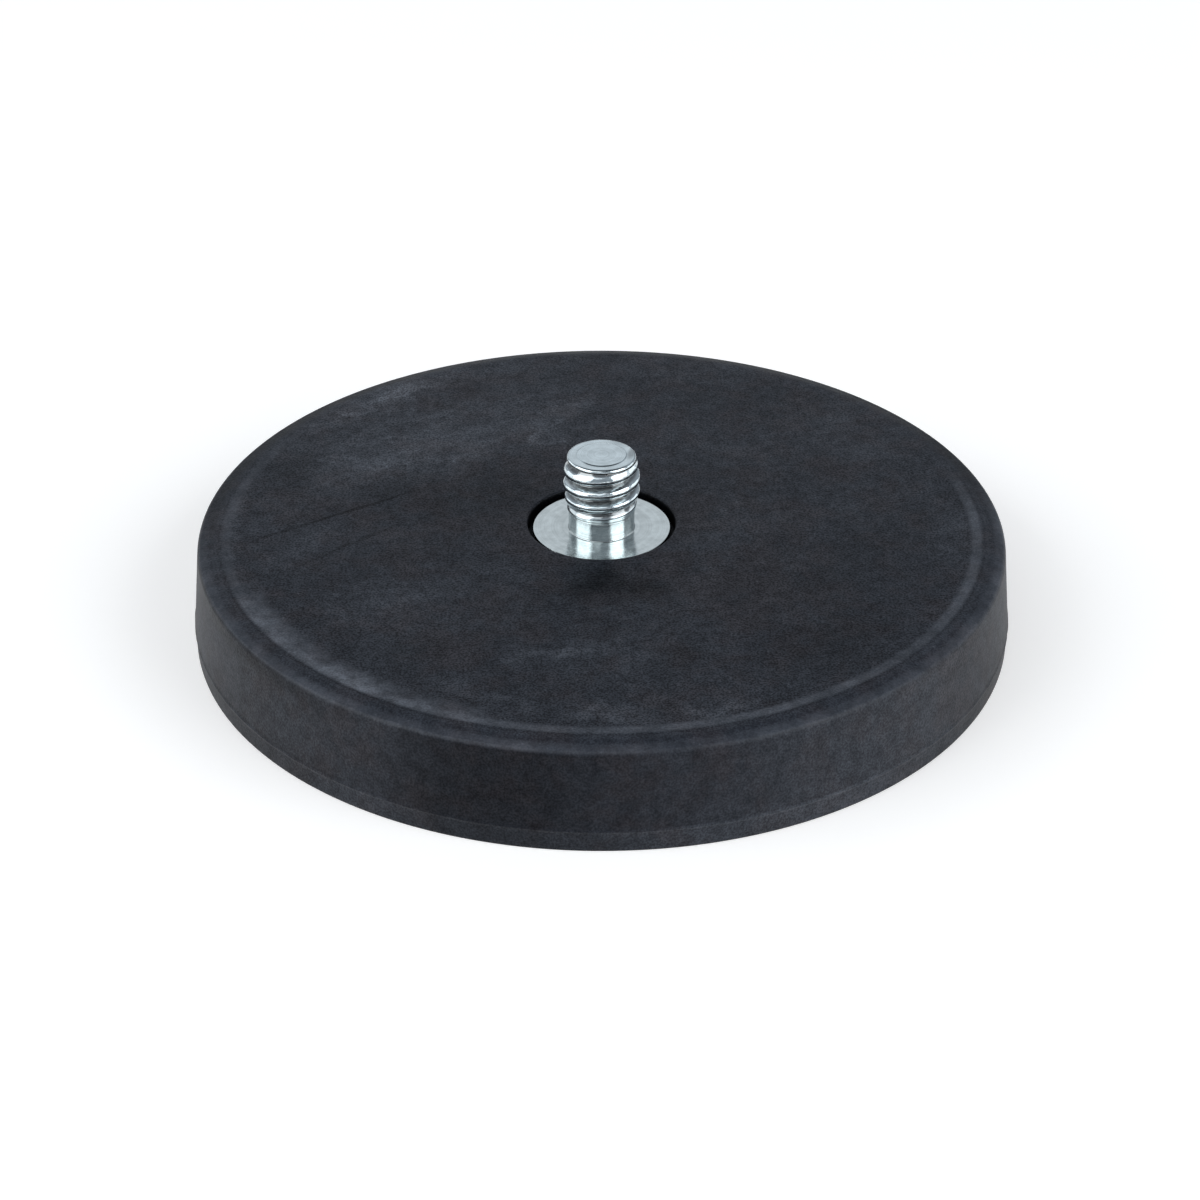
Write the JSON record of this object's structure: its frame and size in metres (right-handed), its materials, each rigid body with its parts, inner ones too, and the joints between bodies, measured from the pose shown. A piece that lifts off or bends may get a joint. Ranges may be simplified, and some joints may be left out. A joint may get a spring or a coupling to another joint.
{
  "type": "pot magnet",
  "caption": "Round rubber-coated pot magnet with a flat holding face and a short male threaded stud on a plated flange.",
  "frame": {"origin": "centre of the flat holding face, at the bottom of the rubber jacket", "axes": "+Z along the stud, away from the holding face; +X through the first disc magnet"},
  "size_m": [0.066, 0.066, 0.0146],
  "materials": {
    "rubber": "matt",
    "plate_steel": "zinc plated, satin",
    "zinc_plate": "bright zinc plated",
    "magnet_nickel": "nickel plated"
  },
  "bodies": {
    "root": {"rubber_jacket": "rubber", "steel_plate": "plate_steel", "threaded_stud": "zinc_plate", "magnet_1": "magnet_nickel", "magnet_2": "magnet_nickel", "magnet_3": "magnet_nickel", "magnet_4": "magnet_nickel", "magnet_5": "magnet_nickel", "magnet_6": "magnet_nickel", "magnet_7": "magnet_nickel", "magnet_8": "magnet_nickel"}
  },
  "joints": []
}
